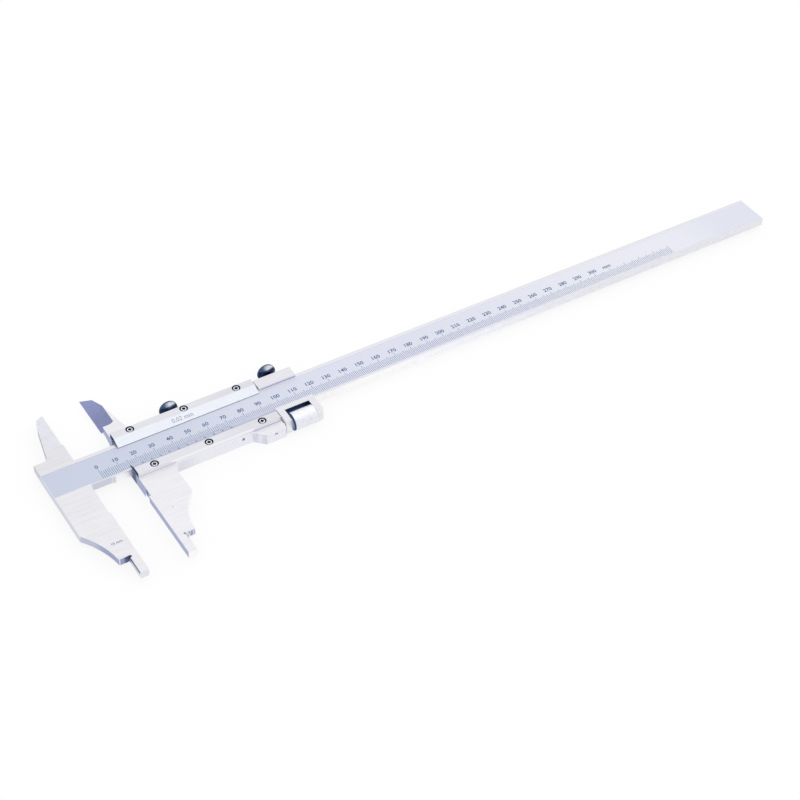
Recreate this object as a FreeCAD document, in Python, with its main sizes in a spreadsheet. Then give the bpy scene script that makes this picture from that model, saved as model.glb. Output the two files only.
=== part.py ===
"""Vernier caliper with nib jaws, knife jaws and a fine-adjustment carriage.

Frame: X runs along the beam from the fixed measuring face to the tail, Y across the beam
towards the knife jaws, Z out of the graduated face. The origin lies on the beam's back face,
on its centre line, level with the fixed measuring face. Lengths are millimetres.
"""
import FreeCAD
import Part
import math
import os
import re
import Sketcher

Vector = FreeCAD.Vector

# name, value, what it measures
SIZES = [
    # beam
    ("beam_height", 20.0, "beam, across the scale"),
    ("beam_thick", 4.5, "beam, back face to graduated face"),
    ("beam_left", 19.34, "fixed measuring face to the head end"),
    ("beam_right", 420.5, "fixed measuring face to the tail end"),
    ("band_low", 8.85, "centre line down to the lower edge of the satin band"),
    ("band_high", 8.05, "centre line up to the upper edge of the satin band"),
    ("band_depth", 0.1, "satin band below the ground rails"),
    ("head_chamfer", 0.3, "chamfer on the head end of the beam"),
    ("undercut_depth", 0.5, "grinding undercut in the beam beside the fixed jaw"),
    ("undercut_length", 12.2, "that undercut, along the beam"),
    ("undercut_slant", 1.5, "slanted run-out at the end of the undercut"),
    # jaws
    ("jaw_thick", 4.3, "jaw blades, back to front"),
    ("jaw_relief_low", 31.0, "centre line to the start of the lower measuring faces"),
    ("fixed_relief", 0.64, "fixed jaw, step behind its measuring face"),
    ("moving_relief", 1.0, "moving jaw, step behind its measuring face"),
    ("blade_end", 60.75, "centre line to the shoulder above the nibs"),
    ("nib_end", 73.1, "centre line to the nib ends"),
    ("nib_flat", 4.1, "nib width on its flat faces"),
    ("nib_width", 5.0, "nib width at its crown"),
    ("nib_notch", 0.8, "radius of the relief beside the nib root"),
    ("blade_side_low", 37.6, "centre line to the end of the straight outer edge"),
    ("fixed_blade_end_width", 9.54, "fixed blade, width at the shoulder"),
    ("moving_blade_end_width", 9.65, "moving blade, width at the shoulder"),
    ("moving_blade_width", 19.8, "moving blade, width at its root"),
    ("fixed_blade_radius", 48.7, "hollow outer edge of the fixed blade"),
    ("moving_blade_radius", 32.2, "hollow outer edge of the moving blade"),
    ("blade_pad_low", 24.3, "centre line to the end of the thick root of the moving blade"),
    ("blade_root_corner", 3.0, "corner between the moving blade and the slider"),
    # knife jaws
    ("knife_start", 24.45, "centre line to the start of the moving knife bevel"),
    ("fixed_knife_start", 23.1, "centre line to the start of the fixed knife bevel"),
    ("knife_tip", 51.6, "centre line to the knife tips"),
    ("knife_land", 0.3, "thickness left at the knife edges"),
    ("knife_bevel", 7.4, "knife bevel, width seen from the front"),
    ("knife_corner", 4.0, "corner radius at the foot of the bevel"),
    ("tip_cut", 5.1, "slanted cut at the knife tips"),
    ("neck_width", 7.4, "knife width where the slanted edge bends"),
    ("neck_high", 38.95, "centre line to that bend"),
    ("root_width", 11.5, "knife width at its root"),
    ("root_high", 18.6, "centre line to the knife root"),
    ("shoulder_high", 16.45, "centre line to the head's upper shoulder"),
    ("shoulder_corner", 2.6, "fillet between the fixed knife and its shoulder"),
    ("tip_slope", 0.2, "knife tip cut, how much it is longer across than along"),
    ("root_flare", 0.8, "moving knife, wider at the slider than at its root"),
    ("heel_rise", 6.0, "thick heel of the moving knife above its root"),
    ("shoulder_reach", 13.6, "fixed measuring face to the foot of the shoulder fillet"),
    ("back_runout", 14.0, "cutter radius behind the moving knife jaw"),
    # opening and slider
    ("opening", 20.57, "jaws apart, as shown"),
    ("slider_length", 79.7, "slider along the beam"),
    ("slider_high", 16.05, "centre line to the slider's upper side"),
    ("slider_low", 16.75, "centre line to the slider's lower side"),
    ("slider_back", 2.65, "back face of the slider below the beam's back face"),
    ("run_clear", 0.05, "running clearance on the beam"),
    ("gib_thick", 1.2, "gib strip"),
    ("gib_clear", 0.05, "gib strip to the wall of its slot"),
    ("gib_wide", 3.9, "gib strip, across the beam's thickness"),
    ("gib_inset", 1.2, "gib strip short of the ends of its slot"),
    ("lug_long", 16.3, "lug along the beam, from the slider's tail end"),
    ("lug_slant", 5.2, "slanted side of the lug"),
    ("lug_low", 21.95, "centre line to the lower side of the lug"),
    # front plates
    ("plate_front", 2.45, "front plates proud of the graduated face"),
    ("plate_edge", 0.25, "thickness at the thin edge of a front plate"),
    ("plate_bevel", 4.8, "bevel of a front plate"),
    ("upper_edge", 6.75, "centre line to the thin edge of the upper plate"),
    ("lower_edge", 6.95, "centre line to the thin edge of the vernier plate"),
    ("plate_inset", 0.3, "plates start this far from the slider's jaw end"),
    ("plate_end", 0.1, "plates stop this far from the slider's tail end"),
    # plate screws
    ("screw_first", 10.2, "slider's jaw end to the first plate screw"),
    ("screw_last", 9.5, "slider's tail end to the last plate screw"),
    ("upper_screw_line", 13.8, "centre line to the upper plate screws"),
    ("lower_screw_line", 14.3, "centre line to the vernier plate screws"),
    ("sink_radius", 2.25, "counterbore for a plate screw"),
    ("sink_depth", 1.25, "depth of that counterbore"),
    ("head_radius", 1.65, "plate screw head"),
    ("head_high", 1.1, "plate screw head, height"),
    ("thread_radius", 1.1, "plate screw thread"),
    ("thread_long", 4.6, "plate screw under its head"),
    ("recess_long", 2.1, "cross recess, tip to tip"),
    ("recess_wide", 0.55, "cross recess, arm width"),
    ("recess_deep", 0.7, "cross recess, depth"),
    # gib and side screws
    ("set_radius", 1.25, "gib set screw"),
    ("set_first", 19.9, "slider's jaw end to the first gib set screw"),
    ("set_last", 24.9, "slider's tail end to the last gib set screw"),
    ("set_sink", 0.6, "set screws below the face they sit in"),
    ("slot_wide", 0.45, "screwdriver slot in a set screw"),
    ("slot_deep", 0.7, "depth of that slot"),
    ("side_screw_inset", 21.7, "slider's tail end to the side set screw"),
    ("side_screw_radius", 0.9, "side set screw"),
    ("side_screw_long", 4.0, "side set screw, length"),
    # lock screws
    ("lock_offset", 5.1, "slider lock screw short of the middle plate screws"),
    ("lock_radius", 1.95, "lock screw thread"),
    ("thread_clear", 0.05, "thread and pad running clearance"),
    ("slider_lock_gap", 1.1, "slider lock pad above its gib, screw free"),
    ("carriage_lock_gap", 0.3, "carriage lock pad above its gib, screw free"),
    ("lock_shift", 0.1, "lock screw axis in front of the beam's middle plane"),
    ("pad_high", 1.5, "lock pad, height"),
    ("knob_radius", 5.0, "lock screw head"),
    ("knob_rim", 2.2, "knurled rim of the head"),
    ("knob_cone", 0.9, "underside cone of the head"),
    ("knob_hub_radius", 3.0, "hub under the head"),
    ("knob_hub", 0.8, "hub, height"),
    ("knob_dome", 0.45, "dome on the head"),
    ("knob_edge", 0.35, "chamfer on the rim"),
    ("stem_long", 4.9, "lock screw from its foot to its hub"),
    # fine adjustment
    ("carriage_gap", 1.0, "slider to carriage, as shown"),
    ("carriage_length", 21.4, "carriage along the beam"),
    ("carriage_high", 15.5, "centre line to the carriage's upper side"),
    ("carriage_low", 20.45, "centre line to the carriage's lower side"),
    ("carriage_front", 1.2, "carriage proud of the graduated face"),
    ("lip", 1.35, "carriage lip over the beam's face"),
    ("window_start", 3.6, "carriage's slider end to the nut window"),
    ("window_long", 14.0, "nut window along the beam"),
    ("window_high", 11.95, "centre line to the top of the nut window"),
    ("carriage_lock_at", 10.6, "carriage's slider end to its lock screw"),
    ("rod_low", 18.4, "centre line to the adjusting rod's axis"),
    ("rod_radius", 1.5, "adjusting rod"),
    ("rod_buried", 10.6, "adjusting rod inside the lug"),
    ("rod_end_inset", 1.1, "rod's free end short of the carriage's tail side"),
    ("wall_clear", 0.25, "rod in the carriage walls"),
    ("rod_fit", 0.02, "rod in the lug"),
    ("nut_radius", 4.85, "adjusting nut"),
    ("nut_play", 0.12, "adjusting nut to the window wall nearer the jaws"),
    ("nut_slack", 0.3, "adjusting nut to the window wall nearer the tail"),
    ("nut_chamfer", 0.5, "adjusting nut, end chamfers"),
    ("nut_bore_clear", 0.05, "nut on the rod"),
    ("pin_radius", 0.8, "cross pin that holds the rod"),
    ("pin_inset", 5.7, "slider's tail end to that pin"),
    ("pin_sink", 0.1, "cross pin below the lug's face"),
    # end stop
    ("stop_at", 412.0, "fixed measuring face to the end stop"),
    ("stop_radius", 2.0, "end stop head"),
    ("stop_high", 1.5, "end stop head, height"),
    ("stop_thread", 1.25, "end stop thread"),
    ("stop_depth", 3.5, "end stop thread, depth"),
    ("stop_edge", 0.3, "end stop head, edge chamfer"),
    # small features
    ("spare", 1.0, "overlap where one feature runs into or past another"),
    ("screw_edge", 0.2, "chamfer at screw ends"),
    ("head_edge", 0.25, "chamfer on plate screw heads"),
    ("plug_edge", 0.3, "chamfer on lock pads"),
    ("rod_edge", 0.4, "chamfer on the rod's free end"),
    ("hole_extra", 0.4, "tapped hole, deeper than its screw"),
    ("hole_clear", 0.1, "plate hole round a plate screw"),
]

# lengths that follow from the sizes above
DERIVED = {
    "half": "(beam_height / 2)",
    "jaw_back": "(beam_thick - jaw_thick)",
    "slider_front": "(beam_thick + run_clear)",
    "slider_left": "(opening + moving_relief)",
    "slider_right": "(slider_left + slider_length)",
    "slot_high": "(half + run_clear + gib_thick + gib_clear)",
    "channel_low": "(half + run_clear)",
    "mid": "(beam_thick / 2)",
    "plate_z": "(beam_thick + plate_front)",
    "plate_thick": "(plate_z - slider_front)",
    "carriage_left": "(slider_right + carriage_gap)",
    "carriage_right": "(carriage_left + carriage_length)",
    "window_left": "(carriage_left + window_start)",
    "window_right": "(window_left + window_long)",
    "knife_slope": "atan((beam_thick - jaw_back - knife_land) / knife_bevel)",
    "knife_face": "sqrt((beam_thick - jaw_back - knife_land) ^ 2 + knife_bevel ^ 2)",
    "front_slope": "atan((slider_front - jaw_back - knife_land) / knife_bevel)",
    "front_face": "sqrt((slider_front - jaw_back - knife_land) ^ 2 + knife_bevel ^ 2)",
    "nib_rise": "(nib_width - nib_flat)",
    "gib_top": "(half + run_clear + gib_thick)",
    "lock_z": "(mid + lock_shift)",
    "gib_low": "(mid - gib_wide / 2)",
    "lug_start": "(slider_length - lug_long)",
    "screw_step": "((slider_length - screw_first - screw_last) / 2)",
    "set_step": "(slider_length - set_first - set_last)",
    "lock_at": "(screw_first + screw_step - lock_offset)",
    "side_screw_at": "(slider_length - side_screw_inset)",
    "rod_start": "(slider_length - rod_buried)",
    "pin_at": "(slider_length - pin_inset)",
}

NAMES = {name for name, value, note in SIZES}

doc = FreeCAD.newDocument("caliper")
sheet = doc.addObject("Spreadsheet::Sheet", "sizes")
for row, (alias, value, note) in enumerate(SIZES, start=1):
    sheet.set("A%d" % row, note)
    sheet.set("B%d" % row, repr(value))
    sheet.setAlias("B%d" % row, alias)
doc.recompute()


def spelled(text):
    """The formula with every derived length written out in sheet names."""
    text = str(text)
    while True:
        longer = re.sub(r"[a-z_]+", lambda m: DERIVED.get(m.group(0), m.group(0)), text)
        if longer == text:
            return text
        text = longer


def bound(text):
    """The formula as an object of the document reads it."""
    return re.sub(r"[a-z_]+", lambda m: "sizes." + m.group(0) if m.group(0) in NAMES else m.group(0),
                  spelled(text))


def number(text):
    """The formula's present value."""
    got = sheet.evalExpression(spelled(text))
    return float(getattr(got, "Value", got))


def new_body(name):
    """An empty body whose label names its file."""
    body = doc.addObject("PartDesign::Body", name)
    body.Label = name
    return body


def place(body, x, y, z, axis=None, turn=None):
    """Puts a body where its formulas say, turned about a row axis."""
    if axis is not None:
        body.Placement = FreeCAD.Placement(Vector(0, 0, 0), FreeCAD.Rotation(axis, turn))
    body.setExpression("Placement.Base.x", bound(x))
    body.setExpression("Placement.Base.y", bound(y))
    body.setExpression("Placement.Base.z", bound(z))


def new_sketch(body, name, role, height="0", tilt=None):
    """An empty sketch at a height over one of the body's own planes, tilted about Y if asked."""
    sketch = body.newObject("Sketcher::SketchObject", name)
    plane = [item for item in body.Origin.OriginFeatures if item.Role == role][0]
    sketch.AttachmentSupport = [(plane, "")]
    sketch.MapMode = "FlatFace"
    if tilt is not None:
        sketch.AttachmentOffset = FreeCAD.Placement(Vector(0, 0, 0), FreeCAD.Rotation(Vector(0, 1, 0), 10))
        x, sign, slope = tilt
        sketch.setExpression("AttachmentOffset.Base.x", bound(x))
        sketch.setExpression("AttachmentOffset.Rotation.Angle", bound(slope))
        if sign < 0:
            turn = FreeCAD.Rotation(Vector(0, -1, 0), 10)
            sketch.AttachmentOffset = FreeCAD.Placement(Vector(0, 0, 0), turn)
    sketch.setExpression("AttachmentOffset.Base.z", bound(height))
    return sketch


def arc_between(p, q, radius, side):
    """The arc from p to q with its centre to the left (side 1) or right (side -1) of the way."""
    chord = q - p
    reach = math.sqrt(max(radius ** 2 - (chord.Length / 2) ** 2, 0))
    left = Vector(-chord.y, chord.x, 0).normalize()
    centre = (p + q) * 0.5 + left * reach * side
    a = math.atan2(p.y - centre.y, p.x - centre.x)
    b = math.atan2(q.y - centre.y, q.x - centre.x)
    if side < 0:
        a, b = b, a
    if b < a:
        b += 2 * math.pi
    return Part.ArcOfCircle(Part.Circle(centre, Vector(0, 0, 1), radius), a, b)


def outline(body, name, role, points, arcs=None, height="0", tilt=None):
    """A closed outline through the points, with arcs where the table gives a radius and a side."""
    arcs = arcs or {}
    sketch = new_sketch(body, name, role, height, tilt)
    at = [Vector(number(x), number(y), 0) for x, y in points]
    count = len(points)
    shapes, first, last = [], [], []
    for i in range(count):
        p, q = at[i], at[(i + 1) % count]
        if i in arcs:
            radius, side = arcs[i]
            shapes.append(arc_between(p, q, number(radius), side))
            first.append(1 if side > 0 else 2)
            last.append(2 if side > 0 else 1)
        else:
            shapes.append(Part.LineSegment(p, q))
            first.append(1)
            last.append(2)
    sketch.addGeometry(shapes, False)
    ties, named = [], []
    for i in range(count):
        ties.append(Sketcher.Constraint("Coincident", i, last[i], (i + 1) % count, first[(i + 1) % count]))
    for i, (x, y) in enumerate(points):
        named.append((len(ties), "x%d" % i, x))
        ties.append(Sketcher.Constraint("DistanceX", -1, 1, i, first[i], at[i].x))
        named.append((len(ties), "y%d" % i, y))
        ties.append(Sketcher.Constraint("DistanceY", -1, 1, i, first[i], at[i].y))
    for i, (radius, side) in arcs.items():
        named.append((len(ties), "radius%d" % i, radius))
        ties.append(Sketcher.Constraint("Radius", i, number(radius)))
    sketch.addConstraint(ties)
    for index, label, formula in named:
        sketch.renameConstraint(index, label)
        sketch.setExpression("Constraints." + label, bound(formula))
    return sketch


def rings(body, name, role, circles, height="0"):
    """Circles at given centres and radii."""
    sketch = new_sketch(body, name, role, height)
    named = []
    for x, y, radius in circles:
        at = Vector(number(x), number(y), 0)
        i = sketch.addGeometry(Part.Circle(at, Vector(0, 0, 1), number(radius)), False)
        for kind, formula in (("DistanceX", x), ("DistanceY", y)):
            value = at.x if kind == "DistanceX" else at.y
            c = sketch.addConstraint(Sketcher.Constraint(kind, -1, 1, i, 3, value))
            named.append((c, kind[-1].lower() + str(i), formula))
        c = sketch.addConstraint(Sketcher.Constraint("Radius", i, number(radius)))
        named.append((c, "radius%d" % i, radius))
    for index, label, formula in named:
        sketch.renameConstraint(index, label)
        sketch.setExpression("Constraints." + label, bound(formula))
    return sketch


def pad(body, sketch, name, length, back=False):
    """Adds material from the sketch, along its normal or against it."""
    feature = body.newObject("PartDesign::Pad", name)
    feature.Profile = sketch
    feature.Reversed = back
    feature.setExpression("Length", bound(length))
    doc.recompute()
    return feature


def cut(body, sketch, name, length=None, up=False, both=False):
    """Removes material below the sketch, above it, or on both sides right through."""
    before = body.Shape.Volume
    feature = body.newObject("PartDesign::Pocket", name)
    feature.Profile = sketch
    feature.Reversed = up
    if both:
        feature.Type = "ThroughAll"
        feature.Midplane = True
    elif length is None:
        feature.Type = "ThroughAll"
    else:
        feature.setExpression("Length", bound(length))
    doc.recompute()
    if body.Shape.Volume > before - 1e-4:
        raise RuntimeError(body.Label + ": " + name + " removes nothing")
    return feature


def turned(body, name, points, arcs=None):
    """A solid of revolution about the body's own Z axis from a half profile in its XZ plane."""
    sketch = outline(body, name + "_profile", "XZ_Plane", points, arcs)
    feature = body.newObject("PartDesign::Revolution", name)
    feature.Profile = sketch
    feature.ReferenceAxis = (sketch, ["V_Axis"])
    feature.Angle = 360
    doc.recompute()
    return feature


def box_points(x0, x1, y0, y1):
    """The corners of a rectangle."""
    return [(x0, y0), (x1, y0), (x1, y1), (x0, y1)]


def mirrored(points, arcs, shift):
    """The outline mirrored in X and moved, in turned order so that it stays closed the same way."""
    flipped = [("%s - (%s)" % (shift, x), y) for x, y in points][::-1]
    count = len(points)
    return flipped, {(count - 2 - i) % count: value for i, value in (arcs or {}).items()}


def nib(body, name, x, sign, front):
    """A measuring nib with a flat inner face and a crowned outer face, padded along -Y."""
    rise = "((%s - jaw_back) ^ 2 / 4 + nib_rise ^ 2) / (2 * nib_rise)" % front
    if sign < 0:
        points = [(x, "jaw_back"), (x, front), (x + " - nib_flat", front), (x + " - nib_flat", "jaw_back")]
        arcs = {2: (rise, 1)}
    else:
        points = [(x, front), (x, "jaw_back"), (x + " + nib_flat", "jaw_back"), (x + " + nib_flat", front)]
        arcs = {2: (rise, 1)}
    sketch = outline(body, name + "_section", "XZ_Plane", points, arcs, height="blade_end - nib_notch")
    pad(body, sketch, name, "nib_end - blade_end + nib_notch")


def knife_bevel(body, name, x, sign, slope, face, low):
    """The slanted front of a knife jaw, cut on a plane tilted about its edge."""
    high = "knife_tip + tip_cut"
    out, back = "moving_relief * 2", "(%s + moving_relief)" % face
    foot = "(%s - knife_corner + moving_relief)" % face
    points = [(out, low), (out, high), ("-" + back, high), ("-" + back, low + " + knife_corner"),
              ("-" + foot, low)]
    arcs = {3: ("knife_corner", 1)}
    if sign > 0:
        points, arcs = mirrored(points, arcs, "0")
    sketch = outline(body, name + "_face", "XY_Plane", points, arcs, height="jaw_back + knife_land",
                     tilt=(x, -sign, slope))
    cut(body, sketch, name, "beam_thick * 2", up=True)


def make_beam():
    """Beam, fixed blade and fixed knife jaw ground from one piece."""
    body = new_body("beam")
    bar = outline(body, "bar_outline", "XY_Plane", box_points("-beam_left", "beam_right", "-half", "half"))
    pad(body, bar, "bar", "beam_thick")
    blade = [("-fixed_relief", "-half + spare"), ("-beam_left", "-half + spare"),
             ("-beam_left", "-blade_side_low"),
             ("-fixed_blade_end_width", "-blade_end"), ("0", "-blade_end"), ("0", "-jaw_relief_low"),
             ("-fixed_relief", "-jaw_relief_low")]
    sketch = outline(body, "blade_outline", "XY_Plane", blade, {2: ("fixed_blade_radius", -1)}, "jaw_back")
    pad(body, sketch, "blade", "jaw_thick")
    nib(body, "nib", "0", -1, "beam_thick")
    knife = [("-fixed_relief", "half - spare"), ("-fixed_relief", "fixed_knife_start"),
             ("0", "fixed_knife_start"),
             ("0", "knife_tip"), ("-tip_cut", "knife_tip - tip_cut + tip_slope"),
             ("-neck_width", "neck_high"),
             ("-root_width", "root_high"), ("-shoulder_reach", "shoulder_high"),
             ("-beam_left", "shoulder_high"), ("-beam_left", "half - spare")]
    sketch = outline(body, "knife_outline", "XY_Plane", knife, {6: ("shoulder_corner", -1)}, "jaw_back")
    pad(body, sketch, "knife", "jaw_thick")
    knife_bevel(body, "knife_bevel", "0", -1, "knife_slope", "knife_face", "fixed_knife_start")
    notch = rings(body, "notch_outline", "XY_Plane", [("-nib_flat", "-blade_end - nib_notch", "nib_notch")])
    cut(body, notch, "notch", both=True)
    undercut = [("-fixed_relief", "-half - spare"), ("undercut_length", "-half - spare"),
                ("undercut_length - undercut_slant", "-half + undercut_depth"),
                ("-fixed_relief", "-half + undercut_depth")]
    sketch = outline(body, "undercut_outline", "XY_Plane", undercut)
    cut(body, sketch, "undercut", both=True)
    band = outline(body, "band_outline", "XY_Plane",
                   box_points("-beam_left - spare", "beam_right + spare", "-band_low", "band_high"),
                   height="beam_thick - band_depth")
    cut(body, band, "satin_band", up=True)
    chamfer = [("-beam_left - spare", "beam_thick + spare"),
               ("-beam_left - spare", "beam_thick - head_chamfer - spare"),
               ("-beam_left + head_chamfer + spare", "beam_thick + spare")]
    sketch = outline(body, "head_chamfer_section", "XZ_Plane", chamfer)
    cut(body, sketch, "head_end_chamfer", both=True)
    hole = rings(body, "stop_hole_outline", "XY_Plane", [("stop_at", "0", "stop_thread")])
    cut(body, hole, "stop_hole", "stop_depth", up=True)
    return body


def make_end_stop():
    """Screw in the beam's back that keeps the slider and carriage on the beam."""
    body = new_body("end_stop_screw")
    turned(body, "stop", [("0", "-stop_high"), ("stop_radius - stop_edge", "-stop_high"),
                          ("stop_radius", "-stop_high + stop_edge"), ("stop_radius", "0"),
                          ("stop_thread", "0"), ("stop_thread", "stop_depth"), ("0", "stop_depth")])
    slot = outline(body, "slot_outline", "XY_Plane",
                   box_points("-stop_radius * 2", "stop_radius * 2", "-slot_wide / 2", "slot_wide / 2"),
                   height="-stop_high")
    cut(body, slot, "slot", "slot_deep", up=True)
    place(body, "stop_at", "0", "0")
    return body


def make_slider():
    """Slider channel with the moving blade, the moving knife jaw and the rod lug."""
    body = new_body("slider_body")
    deep = "slider_front + slider_back"
    block = outline(body, "block_outline", "XY_Plane",
                    box_points("slider_left", "slider_right", "-slider_low", "slider_high"),
                    height="-slider_back")
    pad(body, block, "block", deep)
    corner = "slider_left - moving_relief + moving_blade_width"
    root = [("slider_left", "-slider_low + spare"), ("slider_left", "-blade_pad_low"),
            (corner, "-blade_pad_low"), (corner, "-slider_low - blade_root_corner"),
            (corner + " + blade_root_corner", "-slider_low"),
            (corner + " + blade_root_corner", "-slider_low + spare")]
    sketch = outline(body, "blade_root_outline", "XY_Plane", root, {3: ("blade_root_corner", -1)},
                     "-slider_back")
    pad(body, sketch, "blade_root", deep)
    blade = [(corner, "-slider_low + spare"), ("slider_left", "-slider_low + spare"),
             ("slider_left", "-jaw_relief_low"), ("opening", "-jaw_relief_low"), ("opening", "-blade_end"),
             ("opening + moving_blade_end_width", "-blade_end"), (corner, "-blade_side_low")]
    sketch = outline(body, "blade_outline", "XY_Plane", blade, {5: ("moving_blade_radius", -1)}, "jaw_back")
    pad(body, sketch, "blade", "slider_front - jaw_back")
    nib(body, "nib", "opening", 1, "slider_front")
    flare = "opening + root_width + root_flare"
    knife = [(flare, "slider_high - spare"), (flare, "slider_high"), ("opening + root_width", "root_high"),
             ("opening + neck_width", "neck_high"), ("opening + tip_cut", "knife_tip - tip_cut + tip_slope"),
             ("opening", "knife_tip"), ("opening", "knife_start"), ("slider_left", "knife_start"),
             ("slider_left", "slider_high - spare")]
    sketch = outline(body, "knife_outline", "XY_Plane", knife, None, "jaw_back")
    pad(body, sketch, "knife", "slider_front - jaw_back")
    heel_end = "(root_high + heel_rise)"
    share = "((neck_high - %s) / (neck_high - root_high))" % heel_end
    heel = [(flare, "slider_high - spare"), (flare, "slider_high"), ("opening + root_width", "root_high"),
            ("opening + neck_width + (root_width - neck_width) * " + share, heel_end),
            ("slider_left", heel_end), ("slider_left", "slider_high - spare")]
    sketch = outline(body, "heel_outline", "XY_Plane", heel, None, "-slider_back")
    pad(body, sketch, "knife_heel", "jaw_back + slider_back + knife_land")
    runout = rings(body, "runout_section", "YZ_Plane",
                   [("knife_start + spare", "jaw_back - back_runout", "back_runout")])
    cut(body, runout, "back_runout", both=True)
    knife_bevel(body, "knife_bevel", "opening", 1, "front_slope", "front_face", "knife_start")
    notch = rings(body, "notch_outline", "XY_Plane",
                  [("opening + nib_flat", "-blade_end - nib_notch", "nib_notch")])
    cut(body, notch, "notch", both=True)
    lug = [("slider_left + lug_start", "-slider_low + spare"), ("slider_left + lug_start", "-slider_low"),
           ("slider_left + lug_start + lug_slant", "-lug_low"), ("slider_right", "-lug_low"),
           ("slider_right", "-slider_low + spare")]
    sketch = outline(body, "lug_outline", "XY_Plane", lug, None, "-slider_back")
    pad(body, sketch, "lug", deep)
    channel = outline(body, "channel_section", "YZ_Plane",
                      box_points("-channel_low", "slot_high", "-run_clear", "slider_front + spare"))
    cut(body, channel, "channel", both=True)
    rod = rings(body, "rod_hole_section", "YZ_Plane", [("-rod_low", "mid", "rod_radius + rod_fit")],
                "slider_left + rod_start")
    cut(body, rod, "rod_hole", "slider_length", up=True)
    holes = []
    for line in ("upper_screw_line", "-lower_screw_line"):
        for i in range(3):
            holes.append(("slider_left + screw_first + screw_step * %d" % i, line, "thread_radius"))
    sketch = rings(body, "plate_holes_outline", "XY_Plane", holes, "slider_front")
    cut(body, sketch, "plate_holes", "thread_long - plate_thick + sink_depth + hole_extra")
    tops = [("slider_left + lock_at", "lock_z", "lock_radius + thread_clear")]
    for i in range(2):
        tops.append(("slider_left + set_first + set_step * %d" % i, "mid", "set_radius"))
    sketch = rings(body, "top_holes_outline", "XZ_Plane", tops, "-slider_high - spare")
    cut(body, sketch, "top_holes", "slider_high + spare - half", up=True)
    side = rings(body, "side_hole_outline", "XZ_Plane",
                 [("slider_left + side_screw_at", "mid - side_screw_radius / 2", "side_screw_radius")],
                 "slider_low")
    cut(body, side, "side_hole", "side_screw_long + set_sink")
    pin = rings(body, "pin_hole_outline", "XZ_Plane",
                [("slider_left + pin_at", "mid", "pin_radius")], "lug_low")
    cut(body, pin, "pin_hole", "lug_low - rod_low")
    return body


def make_plate(name, upper):
    """A front plate: screwed flat over the slider wall, bevelled down to the scale."""
    body = new_body(name)
    thin = "slider_front + plate_edge"
    if upper:
        points = [("upper_edge", "slider_front"), ("slider_high", "slider_front"), ("slider_high", "plate_z"),
                  ("upper_edge + plate_bevel", "plate_z"), ("upper_edge", thin)]
        line = "upper_screw_line"
    else:
        points = [("-slider_low", "slider_front"), ("-lower_edge", "slider_front"), ("-lower_edge", thin),
                  ("-lower_edge - plate_bevel", "plate_z"), ("-slider_low", "plate_z")]
        line = "-lower_screw_line"
    section = outline(body, "plate_section", "YZ_Plane", points, height="slider_left + plate_inset")
    pad(body, section, "plate", "slider_length - plate_inset - plate_end")
    at = ["slider_left + screw_first + screw_step * %d" % i for i in range(3)]
    sinks = rings(body, "sink_outline", "XY_Plane", [(x, line, "sink_radius") for x in at], "plate_z")
    cut(body, sinks, "counterbores", "sink_depth")
    holes = rings(body, "hole_outline", "XY_Plane", [(x, line, "thread_radius + hole_clear") for x in at])
    cut(body, holes, "screw_holes", both=True)
    return body


def make_plate_screw(name, x, y):
    """A small cross-recessed screw, standing on its counterbore floor."""
    body = new_body(name)
    turned(body, "screw", [("0", "-thread_long"), ("thread_radius - screw_edge", "-thread_long"),
                           ("thread_radius", "-thread_long + screw_edge"), ("thread_radius", "0"),
                           ("head_radius", "0"), ("head_radius", "head_high - head_edge"),
                           ("head_radius - head_edge", "head_high"), ("0", "head_high")])
    arms = (("arm_a", "recess_long", "recess_wide"), ("arm_b", "recess_wide", "recess_long"))
    for label, long, wide in arms:
        sketch = outline(body, label + "_outline", "XY_Plane",
                         box_points("-%s / 2" % long, "%s / 2" % long, "-%s / 2" % wide, "%s / 2" % wide),
                         height="head_high")
        cut(body, sketch, label, "recess_deep")
    place(body, x, y, "plate_z - sink_depth")
    return body


def make_gib(name, left, length):
    """The strip between the beam's upper edge and the channel wall."""
    body = new_body(name)
    strip = outline(body, "strip_outline", "XY_Plane",
                    box_points("0", "%s - gib_inset * 2" % length, "0", "gib_thick"))
    pad(body, strip, "strip", "gib_wide")
    place(body, left + " + gib_inset", "half + run_clear", "gib_low")
    return body


def make_set_screw(name, x, radius, top, foot, z="mid", down=False):
    """A slotted headless screw, its axis along Y."""
    body = new_body(name)
    turned(body, "screw", [("0", "0"), (radius + " - screw_edge", "0"), (radius, "screw_edge"),
                           (radius, "%s - screw_edge" % top), (radius + " - screw_edge", top), ("0", top)])
    slot = outline(body, "slot_outline", "XY_Plane",
                   box_points("-%s * 2" % radius, "%s * 2" % radius, "-slot_wide / 2", "slot_wide / 2"),
                   height=top)
    cut(body, slot, "slot", "slot_deep")
    place(body, x, foot, z, Vector(1, 0, 0), 90 if down else -90)
    return body


def make_lock_pad(name, x, gap):
    """A small plug between a lock screw and the gib."""
    body = new_body(name)
    turned(body, "plug", [("0", "0"), ("lock_radius - plug_edge", "0"), ("lock_radius", "plug_edge"),
                          ("lock_radius", "pad_high"), ("0", "pad_high")])
    place(body, x, "gib_top + " + gap, "lock_z", Vector(1, 0, 0), -90)
    return body


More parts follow.
